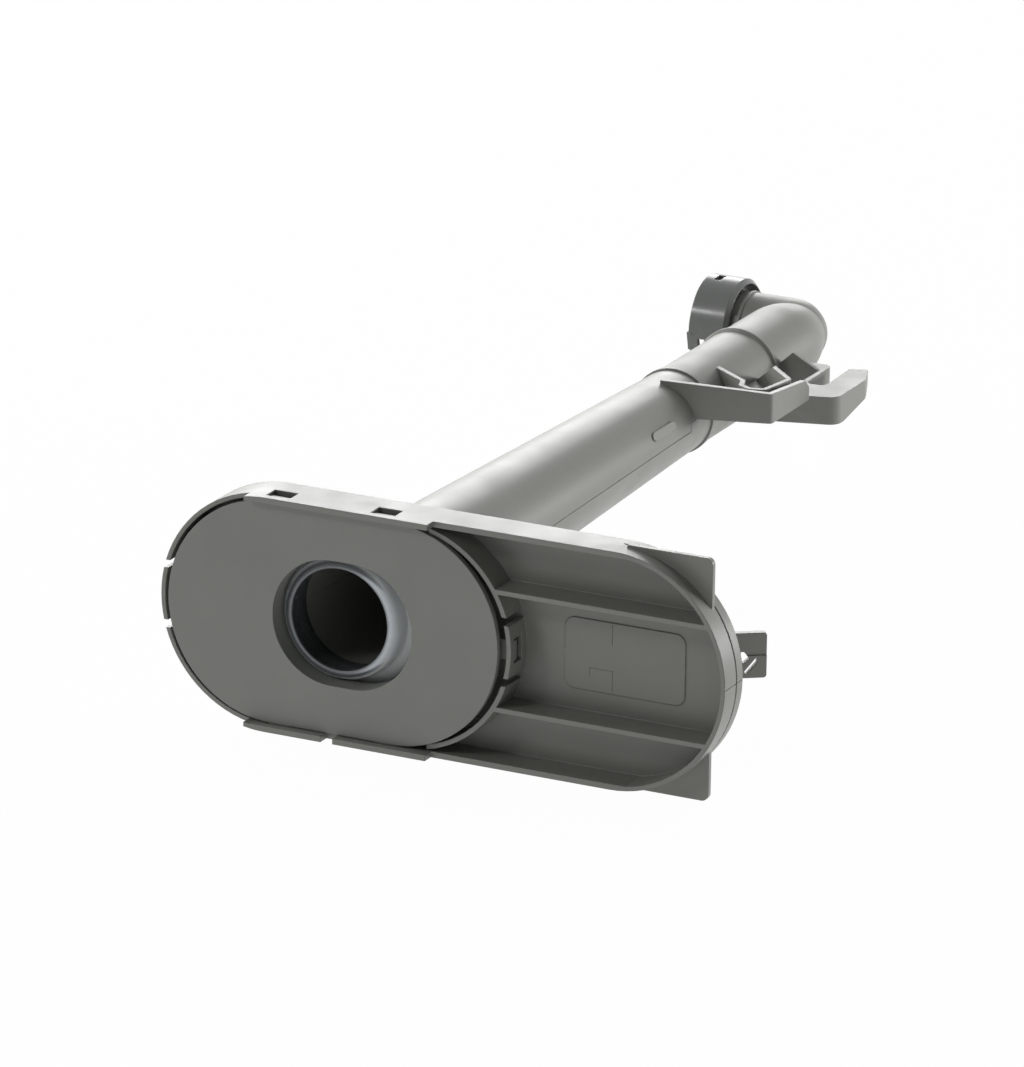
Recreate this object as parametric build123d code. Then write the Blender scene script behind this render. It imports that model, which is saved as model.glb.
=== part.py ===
from build123d import *
import os
from math import cos, degrees, atan2, hypot, radians, sin, sqrt

# Upper-rack feed conduit of a dishwasher, in millimetres.
# X runs along the housing, Y away from the docking face, Z up. The pipe's axis is the Y axis,
# and Y = 0 is the plane of the housing's foremost edges.

# Housing tray
housing_height = 60.0
left_end_x = -17.6
right_end_x = 74.0
housing_depth = 13.8
rear_rim_height = 0.8
rear_edge = 0.6
front_step = 3.2
side_wall = 1.45
end_wall = 1.1
floor_thickness = 1.4

# Edges beside the docking plate that stand proud of the rest
proud_left_x = -23.2
proud_right_x = 26.4
bottom_gap_left_x = -2.0
bottom_gap_width = 3.2

# Ring wall that closes the plate's bay, its slots, spring fingers and snap windows
ring_centre_x = 18.7
ring_inset = 2.3
ring_wall = 1.2
slot_width = 2.05
slot_height_z = 7.7
window_width = 6.4
window_front_y = 2.1
window_length = 4.7
window_centre_x = -0.8
window_spacing = 28.3
finger_window_height = 6.2
finger_window_length = 4.2
finger_window_setback = 6.5
finger_band = 6.0
finger_cover = 0.8

# Ribs, fins and raised pad of the blank end
rib_height_z = 14.9
rib_thickness = 1.2
fin_front_y = 8.0
fin_thickness = 1.4
fin_start = 1.6
fin_setback = 6.0
fin_proud = 0.5
fin_corner = 1.8
groove_width = 0.6
groove_depth = 0.4
pad_left_x = 58.0
pad_right_x = 89.8
pad_half_height = 9.0
pad_height = 0.3
pad_corner = 2.6

# Rear hook behind the blank end
hook_root_inset = 1.0
hook_tip_inset = 2.6
hook_tip_y = 32.2
hook_height = 11.3
hook_thickness = 1.6
hook_step = 0.25
hook_rounding = 0.8
# Its two windows: corners along the hook, counted back from the tip, and in height
hook_slant_window = ((-2.4, -0.3), (-2.4, -1.9), (-4.9, -4.8), (-5.6, -4.2))
hook_small_window = ((-4.2, -0.8), (-5.5, 0.9), (-6.3, 0.9), (-6.3, -1.8), (-5.4, -1.8))

# Pipe
mouth_radius = 16.1
pipe_end_radius = 11.2
pipe_wall = 1.5
pipe_end_y = 196.4
rim_width = 1.1
rim_height = 0.5
mark_start_y = 158.8
mark_length = 13.4
mark_width = 2.4
mark_height = 0.4
mark_turn = 22.0

# Weld seam between the two shells, which steps up near the pipe's end
seam_step_back = 14.4
seam_step_z = 2.4
seam_groove = 0.16
seam_groove_depth = 0.3

# Joint between pipe and elbow
socket_depth = 12.0
socket_wall = 0.8
spigot_wall = 1.3
joint_clearance = 0.05
joint_gap = 0.3

# Elbow and neck: places along the pipe count from the pipe's end
elbow_reach = 78.0
elbow_wall = 1.5
elbow_flange_height = 0.35
elbow_flange_width = 1.2
bead_back = 39.2
bead_width = 1.7
bead_height = 0.8
dome_length = 23.0
dome_setback = 15.7
branch_start_x = -2.0
branch_dome_length = 10.0
neck_radius = 9.4
neck_wall = 1.4
neck_bead_width = 1.0
neck_bead_height = 0.4
neck_bead_gap = 1.6
neck_tip = 0.1
# Tapered ends of the two cores that form the elbow's water way: shares of the core's radius
# and of the dome's length outside it
core_widening = (0.5, 2.0)
pipe_core_steps = ((1.0, 0.0), (0.88, 0.38), (0.57, 0.73), (0.25, 0.9))
neck_core_steps = ((1.0, 0.0), (0.89, 0.4), (0.68, 0.65))

# Docking plate
plate_y = 2.4
plate_thickness = 1.6
plate_side_gap = 0.25
plate_left_gap = 1.3
plate_right_gap = 2.0
inlet_centre_x = 2.45
inlet_half_straight = 2.93
inlet_gap = 0.5
sleeve_wall = 1.3
sleeve_setback = 3.0
skirt_inset = 1.6
skirt_wall = 1.3
tab_clearance = 0.3
tab_setback = 0.5
tab_thickness = 1.5
tab_reach = 1.1

# Seal
seal_wall = 1.65
seal_height = 6.0
seal_lip_thickness = 0.6
seal_lip_length = 2.0
seal_spread = 2.6
seal_flange_width = 3.5
seal_flange_thickness = 0.7
seal_spigot_length = 4.0
seal_spigot_wall = 0.7
seal_spigot_clearance = 0.05

# Collar
collar_length = 11.1
collar_gap = 4.2
collar_wall = 1.3
collar_edge = 1.1
collar_clearance = 0.08
web_setback = 4.0
web_thickness = 1.3
socket_setback = 2.6
catch_wall = 2.1
catch_gap = 0.4
collar_window_back = 7.5
collar_window_length = 2.0
collar_window_width = 4.0
collar_window_turns = (3, 106, 188, 286)
rim_leg_turn = 102.0
rim_leg_width = 5.2
rim_leg_length = 0.5
lug_turn = 57.0
lug_height = 0.9
lug_thickness = 1.2
lug_width = 3.4
lug_gap = 0.3
stop_turn = 65.0
stop_width = 2.4
stop_length = 2.0
stop_height = 0.6

# Clip plate on the upper shell: places along the pipe count from the pipe's end
clip_wall = 1.6
clip_root = (2.1, -13.8)
clip_corner = (30.4, -5.6)
clip_tip_y = 18.1
clip_root_z = 12.3
clip_corner_z = 10.4
clip_tip_z = 8.3
clip_tip_chamfer = 2.4
clip_bend = 1.2

# Looped strip and U hook of the elbow: places along the pipe count from the pipe's end
strip_wall = 1.3
strip_top_z = 9.3
strip_bend = 1.0
strip_way_out = ((5.0, 13.9), (17.1, 5.3), (18.2, 1.6), (21.4, -0.2), (25.2, 0.9), (27.2, 12.2))
strip_way_back = ((19.2, 20.2), (9.0, 30.0))
strip_slope_start = 19.1
strip_slope_run = 8.2
wire_hook_height = 7.6
wire_slot_left_x = 23.4
wire_slot_right_x = 29.0
wire_slot_end_y = 31.2
wire_slot_bend = 2.0
wire_hook_left_x = 6.0
wire_hook_root_y = 14.6
wire_hook_end_y = 48.8
# Outer corners of the hook and of its sprung arm: place in plan and rounding
wire_hook_shoulder = (36.3, 23.3, 3.6)
wire_hook_bend = (36.4, 41.6, 6.0)
arm_tip = (33.2, 50.2, 1.2)
arm_catch = (28.6, 48.0, 0.8)
arm_taper_start = 27.6
arm_tip_height = 3.4
core_left_x = 9.0
core_right_x = 22.0
core_start_y = 27.0
core_end_y = 42.4
core_slant = (14.6, 39.1)
tooth_left_x = 10.2
tooth_right_x = 22.2
tooth_peak = (14.6, 6.4)
tooth_wall = 1.4

# What follows from those sizes
half_height = housing_height / 2
inside_half_height = half_height - side_wall
floor_back_y = housing_depth - rear_rim_height
floor_y = floor_back_y - floor_thickness
pocket_depth = floor_y - front_step
ring_inner_radius = half_height - ring_inset
finger_half_height = slot_height_z - slot_width / 2
finger_window_front_y = floor_y - finger_window_setback
bore_end_radius = pipe_end_radius - pipe_wall
socket_radius = pipe_end_radius - socket_wall
spigot_radius = socket_radius - joint_clearance
socket_start_y = pipe_end_y - socket_depth
spigot_start_y = socket_start_y + joint_gap
elbow_start_y = pipe_end_y + joint_gap
elbow_radius = pipe_end_radius
outlet_y = pipe_end_y + elbow_reach
dome_start_y = outlet_y - dome_setback
collar_right_x = -(elbow_radius + collar_gap)
collar_left_x = collar_right_x - collar_length
web_left_x = collar_right_x - web_setback
socket_end_x = web_left_x - socket_setback
catch_recess_radius = neck_radius + lug_height + catch_gap
collar_radius = catch_recess_radius + catch_wall
neck_end_x = web_left_x - lug_gap - lug_thickness - neck_tip
bore_taper = (mouth_radius - pipe_wall - bore_end_radius) / (socket_start_y - housing_depth)


def slab(sketch, y, depth):
    """Solid of a sketch in X and Z that runs from y for depth along +Y."""
    return extrude(Plane.XZ.offset(-y) * sketch, amount=-depth)


def oblong(left_x, right_x, radius):
    """Oblong with round ends whose centres are left_x and right_x."""
    return Pos((left_x + right_x) / 2, 0) * SlotCenterToCenter(right_x - left_x, 2 * radius)


def rectangle(left_x, right_x, low_z, high_z):
    return Pos((left_x + right_x) / 2, (low_z + high_z) / 2) * Rectangle(right_x - left_x, high_z - low_z)


def block(low, high):
    centre = [(a + b) / 2 for a, b in zip(low, high)]
    size = [b - a for a, b in zip(low, high)]
    return Pos(*centre) * Box(*size)


def upright(points, low_z, height):
    """Solid of a plan outline that stands from low_z."""
    return extrude(Plane.XY.offset(low_z) * make_face(Polyline(*points, close=True)), amount=height)


def strip(line, thickness, low_z, height):
    """Wall of even thickness that stands on a plan line."""
    return extrude(Plane.XY.offset(low_z) * trace(line, thickness), amount=height)


def rounded(face, corners):
    """Face whose corners near the given places (x, y, radius) are rounded."""
    for x, y, radius in corners:
        corner = face.vertices().sort_by_distance((x, y, 0))[0]
        face = fillet(corner, radius)
    return face


def inside_oblong():
    """Inner outline of the outer wall: thin at the round ends, thicker along the straight sides."""
    ends = oblong(left_end_x, right_end_x, half_height - end_wall)
    left_x = left_end_x - half_height
    right_x = right_end_x + half_height
    return ends & rectangle(left_x, right_x, -inside_half_height, inside_half_height)


def tray():
    """Housing with its floor, bevelled rear edge and the proud edges beside the docking plate."""
    outline = oblong(left_end_x, right_end_x, half_height)
    bay = inside_oblong()
    shell = slab(outline, front_step, housing_depth - front_step)
    shell = chamfer(shell.edges().group_by(Axis.Y)[-1], rear_edge)
    shell -= slab(bay, front_step, pocket_depth)
    shell -= slab(bay, floor_back_y, rear_rim_height)
    proud = (outline - bay) & rectangle(proud_left_x, proud_right_x, -half_height, half_height)
    proud -= rectangle(bottom_gap_left_x, bottom_gap_left_x + bottom_gap_width, -half_height, 0)
    return shell + slab(proud, 0, front_step)


def ring_wall_arc():
    outer = Pos(ring_centre_x, 0) * Circle(ring_inner_radius + ring_wall)
    inner = Pos(ring_centre_x, 0) * Circle(ring_inner_radius)
    right_x = ring_centre_x + ring_inner_radius + ring_wall
    part = (outer - inner) & rectangle(proud_right_x - ring_wall, right_x, -half_height + 1, half_height - 1)
    return slab(part, front_step, pocket_depth + floor_thickness / 2)


def ribs():
    left_x = ring_centre_x + sqrt(ring_inner_radius**2 - rib_height_z**2) - ring_wall
    right_x = right_end_x + sqrt((half_height - end_wall / 2) ** 2 - rib_height_z**2)
    rib = rectangle(left_x, right_x, -rib_thickness / 2, rib_thickness / 2)
    inner = slab(Pos(ring_centre_x, 0) * Circle(ring_inner_radius + ring_wall / 2), front_step, pocket_depth)
    both = Part()
    for side in (-1, 1):
        both += slab(Pos(0, side * rib_height_z) * rib, front_step, pocket_depth + floor_thickness / 2)
    return both - inner


def floor_pad():
    """Low pad with round corners on the floor of the middle pocket."""
    pad = rectangle(pad_left_x, pad_right_x, -pad_half_height, pad_half_height)
    pad = fillet(pad.vertices(), pad_corner)
    return slab(pad, floor_y - pad_height, pad_height + floor_thickness / 2)


def end_slots():
    """Slots that free the spring finger at each end of the plate's bay, and the finger's window."""
    cuts = Part()
    wall_bands = (
        (left_end_x - half_height - 1, left_end_x - half_height + finger_band),
        (ring_centre_x + ring_inner_radius - finger_band, ring_centre_x + ring_inner_radius + ring_wall + 1),
    )
    for left_x, right_x in wall_bands:
        for side in (-1, 1):
            z = side * slot_height_z
            slot = rectangle(left_x, right_x, z - slot_width / 2, z + slot_width / 2)
            cuts += slab(slot, front_step - 1, pocket_depth + 1)
        window = rectangle(left_x, right_x, -finger_window_height / 2, finger_window_height / 2)
        cuts += slab(window, finger_window_front_y, finger_window_length)
    return cuts


def side_windows():
    cuts = Part()
    for side in (-1, 1):
        x = window_centre_x + side * window_spacing / 2
        window = rectangle(x - window_width / 2, x + window_width / 2, -half_height - 1, half_height + 1)
        cuts += slab(window, window_front_y, window_length)
    return cuts


def fins():
    """Flat corner plates that square off the round blank end at half its depth."""
    end_x = right_end_x + half_height - fin_setback
    plate = rectangle(right_end_x + fin_start, end_x, -half_height - fin_proud, half_height + fin_proud)
    plate = fillet(plate.vertices().group_by(Axis.X)[-1], fin_corner)
    outer = slab(plate, fin_front_y, fin_thickness)
    return outer - slab(inside_oblong(), 0, housing_depth)


def end_groove():
    """Fine groove round the blank end, behind the fins."""
    outline = oblong(left_end_x, right_end_x, half_height + 1)
    core = oblong(left_end_x, right_end_x, half_height - groove_depth)
    band = (outline - core) & rectangle(right_end_x, right_end_x + 2 * half_height, -half_height, half_height)
    return slab(band, fin_front_y + fin_thickness, groove_width)


def rear_hook():
    """Slanted catch behind the blank end, with two windows: its lower half stands a little in front."""
    root_x = right_end_x - hook_root_inset
    root_y = floor_y + floor_thickness / 2
    tip_x = right_end_x + half_height - hook_tip_inset
    reach = hypot(tip_x - root_x, hook_tip_y - root_y)
    turn = degrees(atan2(hook_tip_y - root_y, tip_x - root_x))
    half = hook_thickness / 2
    upper = block((0, -half, 0), (reach, half, hook_height / 2))
    lower = block((0, -half - hook_step, -hook_height / 2), (reach, half - hook_step, 0))
    both = upper + lower
    corners = both.edges().filter_by(Axis.Y).group_by(Axis.X)[-1]
    both = fillet([corners.sort_by(Axis.Z)[0], corners.sort_by(Axis.Z)[-1]], hook_rounding)
    for window in (hook_slant_window, hook_small_window):
        points = [(reach + back, z) for back, z in window]
        both -= slab(make_face(Polyline(*points, close=True)), -2 * hook_thickness, 4 * hook_thickness)
    hook = Pos(root_x, root_y, 0) * (Rot(0, 0, turn) * both)
    far = (tip_x + half_height, hook_tip_y + half_height, half_height)
    behind = block((0, floor_y + 0.2, -half_height), far)
    return hook & behind


def ring_bead(radius, along, height, width):
    """Profile of a low ring on a pipe: a flat-topped bump, centred on its place along the axis."""
    half = width / 2
    low = radius - 0.4
    top = radius + height
    return Polyline((low, along - half), (radius, along - half), (top, along - half / 2),
                    (top, along + half / 2), (radius, along + half), (low, along + half), close=True)


def cone_radius(y):
    """Outer radius of the tapering pipe."""
    taper = (mouth_radius - pipe_end_radius) / (pipe_end_y - rim_width - housing_depth)
    return mouth_radius - taper * (y - housing_depth)


def conical_pipe():
    """Outside of the body's pipe, which ends in a rim."""
    rim_radius = pipe_end_radius + rim_height
    profile = Polyline((0, floor_y), (mouth_radius, floor_y), (mouth_radius, housing_depth),
                       (pipe_end_radius, pipe_end_y - rim_width), (rim_radius, pipe_end_y - rim_width),
                       (rim_radius, pipe_end_y), (0, pipe_end_y), close=True)
    return revolve(make_face(profile), Axis.Y)


def pipe_mark():
    """Low oblong pad moulded on the side of the pipe."""
    centre_y = mark_start_y + mark_length / 2
    pad = Plane.XY * SlotOverall(mark_length, mark_width, rotation=90)
    height = cone_radius(mark_start_y) + mark_height
    return Rot(0, 90 - mark_turn, 0) * (Pos(0, centre_y, 0) * extrude(pad, amount=height))


def pipe_bore():
    """Water way of the body, with the wider socket that takes the elbow's spigot."""
    mouth = mouth_radius - pipe_wall
    profile = Polyline((0, floor_y - 1), (mouth, floor_y - 1), (mouth, housing_depth),
                       (bore_end_radius, socket_start_y), (socket_radius, socket_start_y),
                       (socket_radius, pipe_end_y + 1), (0, pipe_end_y + 1), close=True)
    return revolve(make_face(profile), Axis.Y)


def elbow_pipe():
    """Solid pipe along Y whose far end is a long dome."""
    turn = radians(45)
    rim = (elbow_radius, dome_start_y)
    middle = (elbow_radius * cos(turn), dome_start_y + dome_length * sin(turn))
    pole = (0, dome_start_y + dome_length)
    lines = Polyline(rim, (elbow_radius, elbow_start_y), (0, elbow_start_y), pole)
    dome = Spline(rim, middle, pole, tangents=[(0, 1), (-1, 0)])
    return revolve(make_face(lines + dome), Axis.Y)


def neck_pipe():
    """Solid branch along X about the outlet's axis, with a short dome at its inner end."""
    turn = radians(45)
    rim = (branch_start_x, neck_radius)
    middle = (branch_start_x + branch_dome_length * cos(turn), neck_radius * sin(turn))
    pole = (branch_start_x + branch_dome_length, 0)
    lines = Polyline(rim, (neck_end_x, neck_radius), (neck_end_x, 0), pole)
    dome = Spline(rim, middle, pole, tangents=[(1, 0), (0, -1)])
    return Pos(0, outlet_y, 0) * revolve(make_face(lines + dome), Axis.X)


def elbow_outside():
    """Spigot, short pipe with its two rings, bend and neck as one solid."""
    flange_radius = elbow_radius + elbow_flange_height
    flange_end_y = elbow_start_y + elbow_flange_width
    spigot = Polyline((0, spigot_start_y), (spigot_radius, spigot_start_y), (spigot_radius, elbow_start_y),
                      (flange_radius, elbow_start_y), (flange_radius, flange_end_y), (0, flange_end_y),
                      close=True)
    ring = ring_bead(elbow_radius, pipe_end_y + bead_back, bead_height, bead_width)
    tube = elbow_pipe() + neck_pipe()
    for profile in (spigot, ring):
        tube += revolve(make_face(profile), Axis.Y)
    bead_left_x = collar_right_x + neck_bead_gap - neck_bead_width / 2
    bead = neck_cylinder(bead_left_x, bead_left_x + neck_bead_width, neck_radius + neck_bead_height)
    return tube + bead


def elbow_bore():
    """Water way of the elbow: straight cores from the spigot and the neck, with tapered ends that meet."""
    wide = elbow_radius - elbow_wall
    narrow = spigot_radius - spigot_wall
    inner = neck_radius - neck_wall
    first, last = core_widening
    along_pipe = [(0, spigot_start_y - 1), (narrow, spigot_start_y - 1), (narrow, elbow_start_y + first),
                  (wide, elbow_start_y + last)]
    for radius_share, length_share in pipe_core_steps:
        along_pipe.append((radius_share * wide, dome_start_y + length_share * dome_length))
    along_pipe.append((0, along_pipe[-1][1]))
    along_neck = [(neck_end_x - 1, 0), (neck_end_x - 1, inner)]
    for radius_share, length_share in neck_core_steps:
        along_neck.append((branch_start_x + length_share * branch_dome_length, radius_share * inner))
    along_neck.append((along_neck[-1][0], 0))
    pipe_core = revolve(make_face(Polyline(*along_pipe, close=True)), Axis.Y)
    neck_core = revolve(make_face(Polyline(*along_neck, close=True)), Axis.X)
    return pipe_core + Pos(0, outlet_y, 0) * neck_core


def neck_cylinder(left_x, right_x, radius):
    """Cylinder about the outlet's axis."""
    return Pos((left_x + right_x) / 2, outlet_y, 0) * (Rot(0, 90, 0) * Cylinder(radius, right_x - left_x))


def around_neck(turn, low, high):
    """Block at the top of the neck, turned about the outlet's axis towards the docking side."""
    return Pos(0, outlet_y, 0) * (Rot(turn, 0, 0) * block(low, high))


def neck_lugs():
    """Four catches at the end of the neck, in front of the collar's web, and the stop beside the collar."""
    right_x = web_left_x - lug_gap
    root = neck_radius - neck_wall / 2
    half = lug_width / 2
    lugs = Part()
    for quarter in range(4):
        lugs += around_neck(90 * quarter + lug_turn, (right_x - lug_thickness, -half, root),
                            (right_x, half, neck_radius + lug_height))
    stop_x = collar_right_x + stop_length
    lugs += around_neck(stop_turn, (collar_right_x + 0.1, -stop_width / 2, root),
                        (stop_x, stop_width / 2, neck_radius + stop_height))
    return lugs


def clip_plate():
    """Plate that stands on the pipe and turns back along it: its top falls away from the pipe."""
    root_x, root_y = clip_root
    corner_x, corner_y = clip_corner
    slope = (corner_y - root_y) / (corner_x - root_x)
    inner_x = corner_x - clip_wall
    back = clip_wall * sqrt(1 + slope**2)
    inner_y = root_y + slope * (inner_x - root_x) + back
    outline = [clip_root, clip_corner, (corner_x, clip_tip_y), (inner_x, clip_tip_y), (inner_x, inner_y),
               (root_x, root_y + back)]
    face = rounded(make_face(Polyline(*outline, close=True)),
                   [(*clip_corner, clip_bend), (inner_x, inner_y, clip_bend / 2)])
    plate = extrude(Plane.XY.offset(seam_step_z) * face, amount=clip_root_z - seam_step_z)
    fall = (clip_root_z - clip_corner_z) / (corner_x - root_x)
    over = [(root_x - 5, clip_root_z + 5 * fall), (corner_x + 5, clip_corner_z - 5 * fall),
            (corner_x + 5, clip_root_z + 5), (root_x - 5, clip_root_z + 5)]
    plate -= slab(make_face(Polyline(*over, close=True)), root_y - 5, clip_tip_y - root_y + 10)
    over_arm = [(inner_y, clip_corner_z), (clip_tip_y - clip_tip_chamfer, clip_tip_z),
                (clip_tip_y, clip_tip_z - clip_tip_chamfer), (clip_tip_y + 1, clip_tip_z - clip_tip_chamfer),
                (clip_tip_y + 1, clip_root_z + 5), (inner_y, clip_root_z + 5)]
    above_arm = make_face(Polyline(*over_arm, close=True))
    plate -= extrude(Plane.YZ.offset(inner_x - 1) * above_arm, amount=clip_wall + 2)
    return Pos(0, pipe_end_y, 0) * plate


def looped_strip():
    """Strip that leaves the elbow's pipe, turns inside the clip plate's return and comes back."""
    line = FilletPolyline(*strip_way_out, *strip_way_back, radius=strip_bend)
    looped = strip(line, strip_wall, seam_step_z, strip_top_z - seam_step_z)
    turn_x, turn_y = strip_way_back[0]
    above = strip_top_z + 1
    low_x = turn_x - strip_slope_run
    slope = Polyline((turn_x, strip_top_z), (low_x, seam_step_z), (0, seam_step_z), (0, above),
                     (turn_x, above), close=True)
    looped -= slab(make_face(slope), strip_slope_start, turn_y)
    return Pos(0, pipe_end_y, 0) * looped


def wire_hook():
    """U hook that snaps on a rack wire, with a deep core between it and the pipe."""
    top_z = seam_step_z
    base_z = top_z - wire_hook_height
    arm_end_y = arm_tip[1] + 1
    corners = (
        wire_hook_shoulder,
        wire_hook_bend,
        arm_tip,
        arm_catch,
        (wire_slot_right_x, wire_slot_end_y, wire_slot_bend),
        (wire_slot_left_x, wire_slot_end_y, wire_slot_bend),
        (wire_slot_left_x, wire_hook_end_y, wire_slot_bend),
    )
    outline = [(wire_hook_left_x, wire_hook_root_y)]
    for x, y, radius in corners:
        outline.append((x, y))
    outline.append((wire_hook_left_x, wire_hook_end_y))
    face = rounded(make_face(Polyline(*outline, close=True)), corners)
    hook = extrude(Plane.XY.offset(base_z) * face, amount=wire_hook_height)
    slant_x, slant_y = core_slant
    core = [(core_left_x, core_end_y), (core_left_x, slant_y), (slant_x, core_start_y),
            (core_right_x, core_start_y), (core_right_x, core_end_y)]
    hook -= upright(core, base_z - 1, wire_hook_height + 2)
    taper = Polyline((arm_taper_start, base_z - 1), (arm_taper_start, base_z),
                     (arm_end_y, top_z - arm_tip_height), (arm_end_y, base_z - 1), close=True)
    hook -= extrude(Plane.YZ.offset(wire_slot_right_x - 1.5) * make_face(taper), amount=20)
    tooth = Polyline((tooth_left_x, top_z - 1), (tooth_left_x, top_z), tooth_peak, (tooth_right_x, top_z),
                     (tooth_right_x, top_z - 1), close=True)
    return Pos(0, pipe_end_y, 0) * (hook + slab(make_face(tooth), core_end_y, tooth_wall))


def seam_cutter():
    """Everything above the weld plane, which steps up near the pipe's end and keeps the fingers whole."""
    far = 2 * pipe_end_y
    step_y = pipe_end_y - seam_step_back
    upper = block((-far, -far, 0), (far, step_y, far)) + block((-far, step_y, seam_step_z), (far, far, far))
    left_x = left_end_x - half_height
    fingers = (
        (left_x - 1, left_x + end_wall + finger_cover),
        (ring_centre_x + ring_inner_radius - finger_cover, ring_centre_x + ring_inner_radius + ring_wall + 1),
    )
    for low_x, high_x in fingers:
        upper += block((low_x, -1, -finger_half_height - 0.2), (high_x, floor_y, 1))
    return upper


def seam_line():
    """Fine groove under the seam, in the skin of the pipe and of the blank end."""
    step_y = pipe_end_y - seam_step_back
    reach = 2 * half_height
    low = block((-reach, housing_depth, -seam_groove), (reach, step_y + seam_groove, 0))
    low += block((-reach, step_y, -seam_groove), (reach, step_y + seam_groove, seam_step_z))
    low += block((-reach, step_y, seam_step_z - seam_groove), (reach, pipe_end_y - rim_width, seam_step_z))
    core = Polyline((0, floor_y), (mouth_radius - seam_groove_depth, floor_y),
                    (mouth_radius - seam_groove_depth, housing_depth),
                    (pipe_end_radius - seam_groove_depth, pipe_end_y), (0, pipe_end_y), close=True)
    end = right_end_x + half_height
    on_end = block((end - seam_groove_depth, 0, -seam_groove), (end + 1, housing_depth, 0))
    return (low - revolve(make_face(core), Axis.Y)) + on_end


def body():
    """Whole welded body, before it is parted at the seam."""
    whole = tray() + ring_wall_arc() + ribs() + floor_pad() + fins() + rear_hook()
    whole -= end_slots()
    whole -= side_windows()
    whole -= end_groove()
    whole += conical_pipe() + pipe_mark() + clip_plate()
    return whole - pipe_bore()


def outlet_elbow():
    """Elbow with its neck, the catches for the collar, the looped strip and the wire hook."""
    return elbow_outside() + looped_strip() + wire_hook() + neck_lugs() - elbow_bore()


def docking_plate():
    """Plate with its inlet sleeve, rear skirt and the tabs that sit in the housing's windows."""
    radius = inside_half_height - plate_side_gap
    left_x = left_end_x - half_height + end_wall + plate_left_gap + radius
    right_x = ring_centre_x + ring_inner_radius - plate_right_gap - radius
    inlet_radius = mouth_radius - pipe_wall - seal_spigot_clearance - seal_wall + seal_spread + inlet_gap
    inlet_left = inlet_centre_x - inlet_half_straight
    inlet_right = inlet_centre_x + inlet_half_straight
    back_y = plate_y + plate_thickness
    end_tab_front_y = finger_window_front_y + tab_clearance
    plate = slab(oblong(left_x, right_x, radius), plate_y, plate_thickness)
    skirt = oblong(left_x, right_x, radius - skirt_inset)
    skirt -= oblong(left_x, right_x, radius - skirt_inset - skirt_wall)
    plate += slab(skirt, back_y, end_tab_front_y + tab_thickness - back_y)
    sleeve = oblong(inlet_left, inlet_right, inlet_radius + sleeve_wall)
    plate += slab(sleeve, back_y, floor_y - sleeve_setback - back_y)
    for side in (-1, 1):
        x = window_centre_x + side * window_spacing / 2
        half = window_width / 2 - tab_clearance
        reach = radius + tab_reach
        root = radius - skirt_inset - skirt_wall
        tab = rectangle(x - half, x + half, -reach, reach) - rectangle(x - half, x + half, -root, root)
        plate += slab(tab, plate_y + tab_setback, tab_thickness)
    half = finger_window_height / 2 - 2 * tab_clearance
    tip_left = left_end_x - half_height + tab_clearance
    tip_right = ring_centre_x + ring_inner_radius + ring_wall - tab_clearance
    inside = radius - skirt_inset - skirt_wall / 2
    end_tabs = rectangle(tip_left, tip_right, -half, half)
    end_tabs -= rectangle(left_x - inside, right_x + inside, -half, half)
    plate += slab(end_tabs, end_tab_front_y, tab_thickness)
    return plate - slab(oblong(inlet_left, inlet_right, inlet_radius), 0, housing_depth)


def inlet_seal():
    """Lip seal: a cone that leans forward to a short lip, a flange on the floor and a spigot in the pipe."""
    spigot = mouth_radius - pipe_wall - seal_spigot_clearance
    bore = spigot - seal_wall
    base = bore + seal_spread
    lip_y = floor_y - seal_height
    flange_y = floor_y - seal_flange_thickness
    end_y = floor_y + seal_spigot_length
    tip = spigot - bore_taper * max(end_y - housing_depth, 0)
    profile = Polyline(
        (bore, lip_y),
        (bore + seal_lip_thickness, lip_y),
        (base, flange_y),
        (base + seal_flange_width, flange_y),
        (base + seal_flange_width, floor_y),
        (spigot, floor_y),
        (spigot, min(housing_depth, end_y)),
        (tip, end_y),
        (tip - seal_spigot_wall, end_y),
        (spigot - seal_spigot_wall, floor_y - seal_flange_thickness),
        (bore, lip_y + seal_lip_length),
        close=True,
    )
    return revolve(make_face(profile), Axis.Y)


def outlet_collar():
    """Drum that turns on the neck: open socket on the left, running web inside, snap windows round it."""
    drum = Cylinder(collar_radius, collar_length)
    drum = chamfer(drum.edges().group_by(Axis.Z)[-1], collar_edge)
    inner = collar_radius - collar_wall
    turned = Pos((collar_left_x + collar_right_x) / 2, outlet_y, 0) * (Rot(0, 90, 0) * drum)
    turned += around_neck(rim_leg_turn, (collar_left_x - rim_leg_length, -rim_leg_width / 2, inner),
                          (collar_left_x + 1, rim_leg_width / 2, collar_radius - 0.1))
    turned -= neck_cylinder(collar_left_x - 1, socket_end_x, inner)
    turned -= neck_cylinder(socket_end_x - 1, web_left_x, catch_recess_radius)
    turned -= neck_cylinder(web_left_x + web_thickness, collar_right_x + 1, inner)
    turned -= neck_cylinder(collar_left_x, collar_right_x, neck_radius + collar_clearance)
    window_x = collar_right_x - collar_window_back
    half = collar_window_length / 2
    for turn in collar_window_turns:
        turned -= around_neck(turn, (window_x - half, -collar_window_width / 2, inner - 1),
                              (window_x + half, collar_window_width / 2, collar_radius + 1))
    return turned


def main():
    os.makedirs("parts", exist_ok=True)
    whole = body()
    cutter = seam_cutter()
    pieces = {
        "upper_shell": whole & cutter,
        "lower_shell": whole - cutter - seam_line(),
        "docking_plate": docking_plate(),
        "inlet_seal": inlet_seal(),
        "outlet_elbow": outlet_elbow(),
        "outlet_collar": outlet_collar(),
    }
    for name, piece in pieces.items():
        print(name, len(piece.solids()), round(piece.volume))
        export_step(piece, f"parts/{name}.step")


main()
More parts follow.
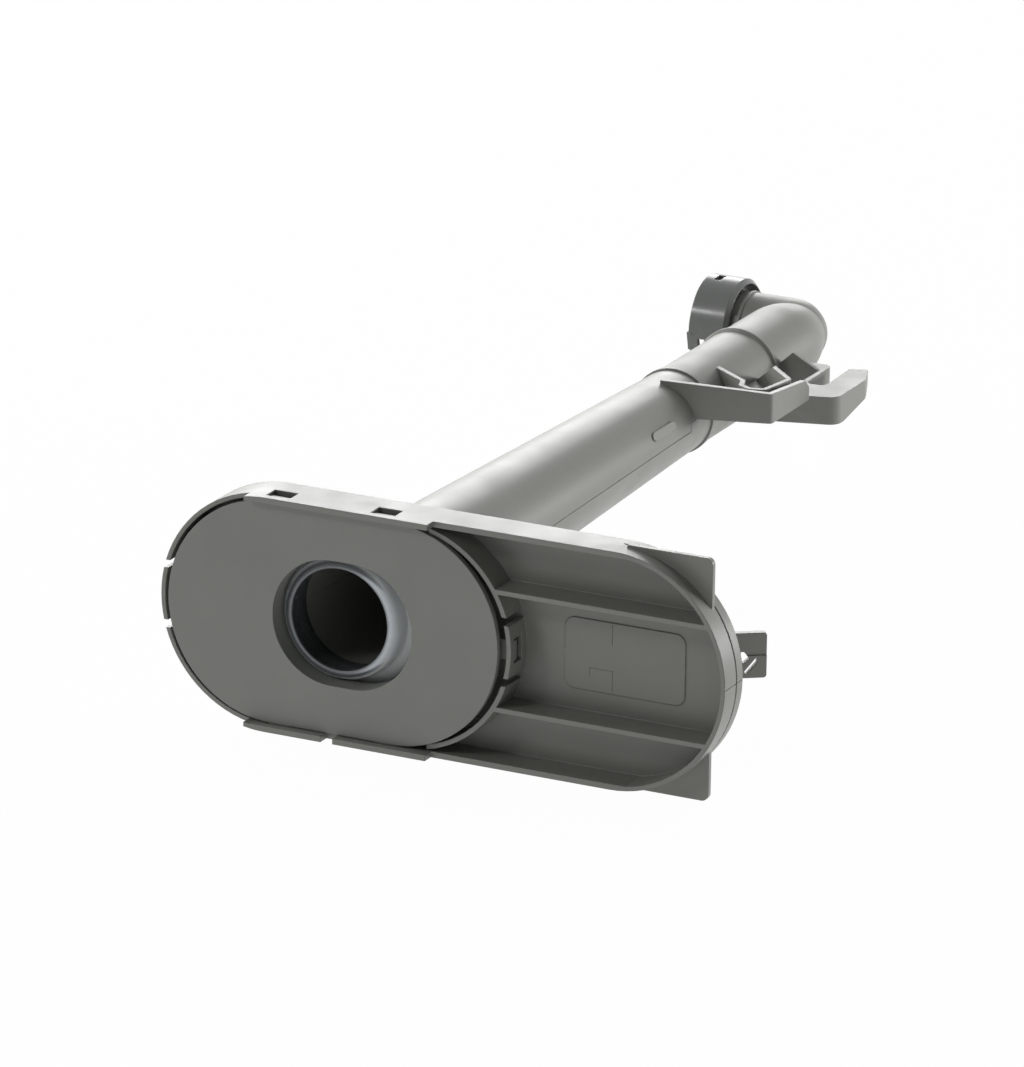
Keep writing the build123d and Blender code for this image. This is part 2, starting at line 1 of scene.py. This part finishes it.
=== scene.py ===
from math import pi

import bmesh
import bpy
from mathutils import Matrix, Vector


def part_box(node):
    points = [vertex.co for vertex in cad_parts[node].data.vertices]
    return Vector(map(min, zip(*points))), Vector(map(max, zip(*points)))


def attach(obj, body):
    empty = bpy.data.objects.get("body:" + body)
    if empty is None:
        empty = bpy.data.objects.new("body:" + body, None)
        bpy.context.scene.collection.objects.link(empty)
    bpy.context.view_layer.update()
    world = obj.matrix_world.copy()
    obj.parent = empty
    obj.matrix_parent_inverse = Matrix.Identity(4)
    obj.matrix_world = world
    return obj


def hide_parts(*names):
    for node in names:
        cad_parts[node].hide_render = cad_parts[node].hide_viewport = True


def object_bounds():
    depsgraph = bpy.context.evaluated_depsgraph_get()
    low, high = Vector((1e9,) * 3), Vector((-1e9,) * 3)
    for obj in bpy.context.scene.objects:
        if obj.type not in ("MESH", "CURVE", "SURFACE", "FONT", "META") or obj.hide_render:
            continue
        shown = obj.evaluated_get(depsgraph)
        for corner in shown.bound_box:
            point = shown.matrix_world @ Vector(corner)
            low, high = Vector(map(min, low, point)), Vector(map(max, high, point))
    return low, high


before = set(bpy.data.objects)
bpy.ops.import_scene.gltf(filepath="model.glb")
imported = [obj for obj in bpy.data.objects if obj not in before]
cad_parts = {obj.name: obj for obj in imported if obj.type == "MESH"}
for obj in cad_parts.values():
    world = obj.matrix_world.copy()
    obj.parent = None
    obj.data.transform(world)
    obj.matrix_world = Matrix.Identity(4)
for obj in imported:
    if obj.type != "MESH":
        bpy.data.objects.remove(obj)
cad_low, cad_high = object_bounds()
scene = bpy.context.scene

# The view: a long lens from the front right, a little above the part.
# The camera stands 1.9 m away, so the far elbow still shows at nine tenths of the housing's scale.
photo_height_px = 1067
focal_px = 8000
camera_place = Vector((0.840519, -1.618706, 0.633518))
camera_right = Vector((0.896502, 0.442873, 0.012142))
camera_up = Vector((-0.150689, 0.279035, 0.948384))
camera_back = camera_right.cross(camera_up)
camera_data = bpy.data.cameras.new("view")
camera_data.lens = camera_data.sensor_width * focal_px / photo_height_px
camera_data.clip_start = 0.05
camera_data.clip_end = 20
camera = bpy.data.objects.new("view", camera_data)
scene.collection.objects.link(camera)
camera_turn = Matrix((camera_right, camera_up, camera_back)).transposed()
camera.matrix_world = Matrix.Translation(camera_place) @ camera_turn.to_4x4()
scene.camera = camera

scene.view_settings.view_transform = "Standard"

# The studio: broad lamps behind, above and at the left of the part, and weaker ones in front.
# The room is seen white, and gives almost no light itself.
room_grey = 0.04
room_white = 1.0
world = bpy.data.worlds.new("studio")
world.use_nodes = True
scene.world = world
room_nodes = world.node_tree.nodes
room_links = world.node_tree.links
room_background = room_nodes["Background"]
room_light_path = room_nodes.new("ShaderNodeLightPath")
room_seen = room_nodes.new("ShaderNodeMix")
room_seen.data_type = "RGBA"
room_seen.inputs["A"].default_value = (room_grey, room_grey, room_grey, 1)
room_seen.inputs["B"].default_value = (room_white, room_white, room_white, 1)


def reckoned(nodes, links, operation, first, second):
    """One value worked out from two, such as the larger of them or their product."""
    working = nodes.new("ShaderNodeMath")
    working.operation = operation
    links.new(first, working.inputs[0])
    links.new(second, working.inputs[1])
    return working.outputs["Value"]


def seen_directly(nodes, links, light_path):
    """1 for rays from the camera, from gloss and through clear material, 0 for soft light."""
    rays = light_path.outputs
    gloss_or_clear = reckoned(nodes, links, "MAXIMUM", rays["Is Glossy Ray"], rays["Is Transmission Ray"])
    return reckoned(nodes, links, "MAXIMUM", rays["Is Camera Ray"], gloss_or_clear)


room_links.new(seen_directly(room_nodes, room_links, room_light_path), room_seen.inputs["Factor"])
room_links.new(room_seen.outputs["Result"], room_background.inputs["Color"])

# Each lamp's name, place, width and height in metres, and power in watts.
lamps = (
    ("lamp_back_left", (-1.42, 2.63, 0.98), (2.4, 1.2), 44.5),
    ("lamp_back_right", (1.45, 1.20, 0.20), (0.7, 0.36), 19.0),
    ("lamp_top", (0.55, 0.95, 2.00), (0.8, 0.8), 8.5),
    ("lamp_left", (-1.60, 0.20, 0.40), (0.9, 0.8), 24.0),
    ("lamp_front_left", (-1.35, -1.15, 1.25), (1.0, 0.45), 6.6),
    ("lamp_front_small", (-0.95, -1.42, 1.30), (0.30, 0.14), 3.2),
    ("lamp_front_low", (0.95, -1.60, 0.10), (1.2, 0.8), 1.2),
)
lamp_aim = Vector((0.03, 0.13, 0))
for lamp_name, lamp_place, lamp_size, lamp_power in lamps:
    lamp_data = bpy.data.lights.new(lamp_name, "AREA")
    lamp_data.shape = "RECTANGLE"
    lamp_data.size, lamp_data.size_y = lamp_size
    lamp_data.energy = lamp_power
    lamp = bpy.data.objects.new(lamp_name, lamp_data)
    scene.collection.objects.link(lamp)
    lamp.location = lamp_place
    lamp.rotation_mode = "QUATERNION"
    lamp.visible_camera = False
    lamp.rotation_quaternion = (lamp_aim - Vector(lamp_place)).to_track_quat("-Z", "Y")

# The floor: a matt white sheet that the part's lowest edge stands on.
# It is lit from below, as a light table is, and shows almost white.
floor_below = 0.0002
floor_half_width = 3.0
floor_white = 0.80
floor_roughness = 0.9
soft_glow = 0.60
seen_glow = 0.98


def spread(nodes, links, value, from_range=(0, 1), to_range=(0, 1)):
    """Stretches a value from one range to another, held at both ends."""
    stretch = nodes.new("ShaderNodeMapRange")
    for socket, number in zip(("From Min", "From Max", "To Min", "To Max"), (*from_range, *to_range)):
        stretch.inputs[socket].default_value = number
    links.new(value, stretch.inputs["Value"])
    return stretch.outputs["Result"]


floor_mesh = bmesh.new()
bmesh.ops.create_grid(floor_mesh, x_segments=1, y_segments=1, size=floor_half_width)
bmesh.ops.translate(floor_mesh, verts=floor_mesh.verts, vec=(0, 0, cad_low.z - floor_below))
floor_data = bpy.data.meshes.new("floor")
floor_mesh.to_mesh(floor_data)
floor_mesh.free()
floor = bpy.data.objects.new("floor", floor_data)
scene.collection.objects.link(floor)
floor_finish = bpy.data.materials.new("floor_white")
floor_finish.use_nodes = True
floor_nodes = floor_finish.node_tree.nodes
floor_links = floor_finish.node_tree.links
floor_surface = floor_nodes["Principled BSDF"]
floor_surface.inputs["Base Color"].default_value = (floor_white, floor_white, floor_white, 1)
floor_surface.inputs["Roughness"].default_value = floor_roughness
floor_glow = floor_nodes.new("ShaderNodeEmission")
floor_glow.inputs["Color"].default_value = (1, 1, 1, 1)
floor_light_path = floor_nodes.new("ShaderNodeLightPath")
floor_seen = seen_directly(floor_nodes, floor_links, floor_light_path)
floor_share = spread(floor_nodes, floor_links, floor_seen, to_range=(soft_glow, seen_glow))
floor_mix = floor_nodes.new("ShaderNodeMixShader")
floor_links.new(floor_share, floor_mix.inputs["Fac"])
floor_links.new(floor_surface.outputs["BSDF"], floor_mix.inputs[1])
floor_links.new(floor_glow.outputs["Emission"], floor_mix.inputs[2])
floor_links.new(floor_mix.outputs["Shader"], floor_nodes["Material Output"].inputs["Surface"])
floor_data.materials.append(floor_finish)

# The two body shells: injection-moulded grey polypropylene, welded along the middle plane.
# The skin is fine-grained and satin, with faint flow clouds, and its edges are slightly rounded.
weld_flush_to = 0.0005
weld_fades_by = 0.0009
tray_flush_to = 0.0132
tray_fades_by = 0.0136
cloud_scale = 34
cloud_fineness = 0.6
rub_scale = 110
grain_scale = 2600
noise_spread = (0.3, 0.7)
duller_by = 0.06
glossier_by = 0.04
grain_strength = 0.35
plastic_ior = 1.49


def closed_weld(nodes, links, place, rounded_normal):
    """Takes the rounding away at the weld plane inside the tray, where the two halves meet flush."""
    parted = nodes.new("ShaderNodeSeparateXYZ")
    links.new(place.outputs["Object"], parted.inputs["Vector"])
    height = nodes.new("ShaderNodeMath")
    height.operation = "ABSOLUTE"
    links.new(parted.outputs["Z"], height.inputs[0])
    near_weld = spread(nodes, links, height.outputs["Value"], from_range=(weld_fades_by, weld_flush_to))
    in_tray = spread(nodes, links, parted.outputs["Y"], from_range=(tray_fades_by, tray_flush_to))
    true_normal = nodes.new("ShaderNodeNewGeometry")
    chosen = nodes.new("ShaderNodeMix")
    chosen.data_type = "VECTOR"
    links.new(reckoned(nodes, links, "MULTIPLY", near_weld, in_tray), chosen.inputs["Factor"])
    links.new(rounded_normal, chosen.inputs["A"])
    links.new(true_normal.outputs["Normal"], chosen.inputs["B"])
    return chosen.outputs["Result"]


def noise(nodes, links, place, scale, detail):
    """Random clouds or grain, fixed to the piece's own coordinates."""
    speckle = nodes.new("ShaderNodeTexNoise")
    speckle.inputs["Scale"].default_value = scale
    speckle.inputs["Detail"].default_value = detail
    links.new(place.outputs["Object"], speckle.inputs["Vector"])
    return speckle


def moulded_plastic(name, colour, roughness, cloud_contrast, grain_depth, edge_rounding):
    """Moulded plastic: clouded colour, uneven gloss, a fine grain and softened edges."""
    finish = bpy.data.materials.new(name)
    finish.use_nodes = True
    nodes = finish.node_tree.nodes
    links = finish.node_tree.links
    surface = nodes["Principled BSDF"]
    place = nodes.new("ShaderNodeTexCoord")
    clouds = noise(nodes, links, place, cloud_scale, detail=5)
    clouds.inputs["Roughness"].default_value = cloud_fineness
    cloud_range = (1 - cloud_contrast, 1 + cloud_contrast)
    tinted = nodes.new("ShaderNodeMix")
    tinted.data_type = "RGBA"
    tinted.blend_type = "MULTIPLY"
    tinted.inputs["Factor"].default_value = 1
    tinted.inputs["A"].default_value = (*colour, 1)
    links.new(spread(nodes, links, clouds.outputs["Fac"], noise_spread, cloud_range), tinted.inputs["B"])
    links.new(tinted.outputs["Result"], surface.inputs["Base Color"])
    rubs = noise(nodes, links, place, rub_scale, detail=6)
    gloss_range = (roughness - glossier_by, roughness + duller_by)
    gloss = spread(nodes, links, rubs.outputs["Fac"], noise_spread, gloss_range)
    links.new(gloss, surface.inputs["Roughness"])
    rounding = nodes.new("ShaderNodeBevel")
    rounding.samples = 6
    rounding.inputs["Radius"].default_value = edge_rounding
    grain = noise(nodes, links, place, grain_scale, detail=2)
    bump = nodes.new("ShaderNodeBump")
    bump.inputs["Strength"].default_value = grain_strength
    bump.inputs["Distance"].default_value = grain_depth
    links.new(grain.outputs["Fac"], bump.inputs["Height"])
    links.new(closed_weld(nodes, links, place, rounding.outputs["Normal"]), bump.inputs["Normal"])
    links.new(bump.outputs["Normal"], surface.inputs["Normal"])
    surface.inputs["IOR"].default_value = plastic_ior
    return finish


shell_finish = moulded_plastic(
    "shell_plastic_finish", colour=(0.212, 0.215, 0.194), roughness=0.36,
    cloud_contrast=0.045, grain_depth=0.00002, edge_rounding=0.0004
)


def finish_node(node, finish):
    """Gives a CAD piece its finish in place of the plain packed one."""
    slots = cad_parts[node].data.materials
    slots.clear()
    slots.append(finish)


finish_node("upper_shell", shell_finish)
finish_node("lower_shell", shell_finish)

# Fine lines in the blank end: the edges of a mould insert, left on the raised pad of the middle pocket.
# They are hair-thin ridges of the shell's own plastic.
insert_face_y = 0.0113
insert_line_width = 0.00022
insert_line_height = 0.00006
insert_lines = (
    ((0.0705, 0.0085), (0.0705, 0.0034)),
    ((0.0646, -0.0052), (0.0646, -0.0032)),
    ((0.0646, -0.0032), (0.0707, -0.0032)),
    ((0.0707, -0.0032), (0.0707, -0.0079)),
)
insert_mesh = bmesh.new()
for (start_x, start_z), (end_x, end_z) in insert_lines:
    ridge = bmesh.ops.create_cube(insert_mesh, size=1)["verts"]
    ridge_across = abs(end_x - start_x) + insert_line_width
    ridge_up = abs(end_z - start_z) + insert_line_width
    ridge_middle = ((start_x + end_x) / 2, insert_face_y, (start_z + end_z) / 2)
    bmesh.ops.scale(insert_mesh, verts=ridge, vec=(ridge_across, 2 * insert_line_height, ridge_up))
    bmesh.ops.translate(insert_mesh, verts=ridge, vec=ridge_middle)
    ridge_edges = {edge for corner in ridge for edge in corner.link_edges}
    bmesh.ops.bevel(
        insert_mesh, geom=list(ridge_edges), offset=insert_line_height, offset_type="OFFSET", segments=2,
        profile=0.5, affect="EDGES", clamp_overlap=True, material=-1
    )
insert_data = bpy.data.meshes.new("pocket_insert_lines")
insert_mesh.to_mesh(insert_data)
insert_mesh.free()
insert_piece = bpy.data.objects.new("pocket_insert_lines", insert_data)
scene.collection.objects.link(insert_piece)
insert_data.materials.append(shell_finish)
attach(insert_piece, "conduit")

# The docking plate: a flat moulding of the same plastic with a duller, finer face.
# It is held in the housing by tabs and carries the sleeve round the inlet.
plate_finish = moulded_plastic(
    "plate_plastic_finish", colour=(0.218, 0.223, 0.204), roughness=0.46,
    cloud_contrast=0.05, grain_depth=0.000025, edge_rounding=0.0003
)
finish_node("docking_plate", plate_finish)

# The outlet elbow: plugged into the pipe's rim, moulded with the wire hook in one piece.
# Its plastic is a touch lighter and duller than the housing's.
elbow_finish = moulded_plastic(
    "elbow_plastic_finish", colour=(0.228, 0.230, 0.209), roughness=0.42,
    cloud_contrast=0.04, grain_depth=0.00002, edge_rounding=0.00025
)
finish_node("outlet_elbow", elbow_finish)

# The collar: a smooth drum of darker, glossier plastic, moulded with snap windows in its wall.
# It turns on the elbow's neck and carries the spray arm.
collar_finish = moulded_plastic(
    "collar_plastic_finish", colour=(0.146, 0.153, 0.147), roughness=0.23,
    cloud_contrast=0.03, grain_depth=0.00001, edge_rounding=0.0003
)
finish_node("outlet_collar", collar_finish)

# The inlet seal: moulded bluish silicone, milky and slightly see-through.
# A thin lip flares back from the inlet to a flange on the housing's floor, and a sleeve holds it in the
# pipe. The profile is given as radius and depth, from the lip's inner edge round the outside and back.
seal_front_to_floor = 0.0060
seal_front_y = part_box("inlet_seal")[0].y
seal_floor_y = seal_front_y + seal_front_to_floor
seal_back_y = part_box("inlet_seal")[1].y
seal_profile = (
    (0.01291, seal_front_y + 0.00045),
    (0.01296, seal_front_y + 0.00020),
    (0.01312, seal_front_y + 0.00006),
    (0.01340, seal_front_y + 0.00001),
    (0.01390, seal_front_y + 0.00004),
    (0.01440, seal_front_y + 0.00018),
    (0.01485, seal_front_y + 0.00048),
    (0.01522, seal_front_y + 0.00098),
    (0.01548, seal_front_y + 0.00168),
    (0.01565, seal_front_y + 0.00255),
    (0.01576, seal_front_y + 0.00360),
    (0.01582, seal_front_y + 0.00470),
    (0.01588, seal_front_y + 0.00510),
    (0.01615, seal_front_y + 0.00532),
    (0.01690, seal_front_y + 0.00538),
    (0.01880, seal_floor_y - 0.00056),
    (0.01898, seal_floor_y - 0.00045),
    (0.01898, seal_floor_y - 0.00005),
    (0.01462, seal_floor_y - 0.00005),
    (0.01452, seal_floor_y + 0.00030),
    (0.01446, seal_back_y - 0.00030),
    (0.01425, seal_back_y),
    (0.01402, seal_back_y - 0.00025),
    (0.01398, seal_floor_y + 0.00010),
    (0.01392, seal_floor_y - 0.00120),
    (0.01350, seal_front_y + 0.00230),
    (0.01305, seal_front_y + 0.00090),
)
seal_steps = 128
seal_join = 0.000001
seal_mesh = bmesh.new()
seal_ring = [seal_mesh.verts.new((radius, y, 0)) for radius, y in seal_profile]
seal_edges = []
for here, after in zip(seal_ring, seal_ring[1:] + seal_ring[:1]):
    seal_edges.append(seal_mesh.edges.new((here, after)))
bmesh.ops.spin(
    seal_mesh, geom=seal_ring + seal_edges, cent=(0, 0, 0), axis=(0, 1, 0),
    angle=2 * pi, steps=seal_steps, use_merge=True
)
bmesh.ops.remove_doubles(seal_mesh, verts=seal_mesh.verts, dist=seal_join)
bmesh.ops.recalc_face_normals(seal_mesh, faces=seal_mesh.faces)
for face in seal_mesh.faces:
    face.smooth = True
seal_data = bpy.data.meshes.new("inlet_lip_seal")
seal_mesh.to_mesh(seal_data)
seal_mesh.free()
seal = bpy.data.objects.new("inlet_lip_seal", seal_data)
scene.collection.objects.link(seal)

# The seal's silicone: its own milky tone on the lip, with painted light that makes the thick cone palest,
# and painted shade that darkens the inner wall and the places that are closed in.
# The colour follows the distance from the axis, the depth behind the lip and how open the place is.
seal_cloud_scale = 90
lip_colours = ((0.62, 0.66, 0.70, 1), (0.72, 0.76, 0.80, 1))
# Painted light: the cone is painted paler than the lip, which keeps the silicone's own milky tone.
cone_painted_light_colour = (0.86, 0.90, 0.93, 1)
# Painted shade: the colour that the inner wall and the closed-in places are painted.
shadowed_colour = (0.09, 0.10, 0.105, 1)
lip_inner_radii = (0.0130, 0.0138)
inner_wall_widens_by = 0.0012
cone_starts_behind_lip = (0.0002, 0.0009)
openness_reach = 0.005
openness_range = (0.80, 0.97)
seal_gloss_range = (0.20, 0.34)
silicone_ior = 1.42
scattered_share = 0.35
scatter_colour_reach = (0.9, 1.0, 1.2)
scatter_depth = 0.0015
seal_finish = bpy.data.materials.new("seal_silicone")
seal_finish.use_nodes = True
seal_nodes = seal_finish.node_tree.nodes
seal_links = seal_finish.node_tree.links
seal_surface = seal_nodes["Principled BSDF"]
seal_place = seal_nodes.new("ShaderNodeTexCoord")
seal_clouds = noise(seal_nodes, seal_links, seal_place, seal_cloud_scale, detail=4)


def tint_between(factor, first, second):
    """A colour between two others, either of which may be a plain colour or a socket."""
    tint_mix = seal_nodes.new("ShaderNodeMix")
    tint_mix.data_type = "RGBA"
    seal_links.new(factor, tint_mix.inputs["Factor"])
    for socket, colour in (("A", first), ("B", second)):
        if isinstance(colour, tuple):
            tint_mix.inputs[socket].default_value = colour
        else:
            seal_links.new(colour, tint_mix.inputs[socket])
    return tint_mix.outputs["Result"]


seal_parted = seal_nodes.new("ShaderNodeSeparateXYZ")
seal_links.new(seal_place.outputs["Object"], seal_parted.inputs["Vector"])
seal_across = seal_nodes.new("ShaderNodeCombineXYZ")
seal_links.new(seal_parted.outputs["X"], seal_across.inputs["X"])
seal_links.new(seal_parted.outputs["Z"], seal_across.inputs["Y"])
seal_radius = seal_nodes.new("ShaderNodeVectorMath")
seal_radius.operation = "LENGTH"
seal_links.new(seal_across.outputs["Vector"], seal_radius.inputs[0])
cone_range = tuple(seal_front_y + behind for behind in cone_starts_behind_lip)
seal_in_cone = spread(seal_nodes, seal_links, seal_parted.outputs["Y"], cone_range)
seal_set_back = seal_nodes.new("ShaderNodeMath")
seal_set_back.operation = "MULTIPLY_ADD"
seal_links.new(seal_in_cone, seal_set_back.inputs[0])
seal_set_back.inputs[1].default_value = -inner_wall_widens_by
seal_links.new(seal_radius.outputs["Value"], seal_set_back.inputs[2])
# Painted shade on the inner wall: darkened inside the lip's inner radius, and further out in the cone.
seal_outside = spread(seal_nodes, seal_links, seal_set_back.outputs["Value"], lip_inner_radii)
# Painted shade where the place is closed in, read from ambient occlusion.
seal_open = seal_nodes.new("ShaderNodeAmbientOcclusion")
seal_open.samples = 16
seal_open.inputs["Distance"].default_value = openness_reach
seal_openness = spread(seal_nodes, seal_links, seal_open.outputs["AO"], openness_range)
# The cone is kept out of the painted shade of closed-in places.
seal_unshaded_by_occlusion = reckoned(seal_nodes, seal_links, "MAXIMUM", seal_openness, seal_in_cone)
seal_unshaded_share = reckoned(seal_nodes, seal_links, "MULTIPLY", seal_outside, seal_unshaded_by_occlusion)
seal_lip_tint = tint_between(seal_clouds.outputs["Fac"], *lip_colours)
# The lip's own tone, with the cone's painted light behind the lip.
seal_milk_and_painted_light = tint_between(seal_in_cone, seal_lip_tint, cone_painted_light_colour)
# The painted shade is mixed over the silicone's tone and the cone's painted light.
seal_links.new(tint_between(seal_unshaded_share, shadowed_colour, seal_milk_and_painted_light), seal_surface.inputs["Base Color"])
seal_gloss = spread(seal_nodes, seal_links, seal_clouds.outputs["Fac"], to_range=seal_gloss_range)
seal_links.new(seal_gloss, seal_surface.inputs["Roughness"])
seal_surface.inputs["IOR"].default_value = silicone_ior
seal_surface.inputs["Subsurface Weight"].default_value = scattered_share
seal_surface.inputs["Subsurface Radius"].default_value = scatter_colour_reach
seal_surface.inputs["Subsurface Scale"].default_value = scatter_depth
seal_data.materials.append(seal_finish)
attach(seal, "conduit")
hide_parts("inlet_seal")
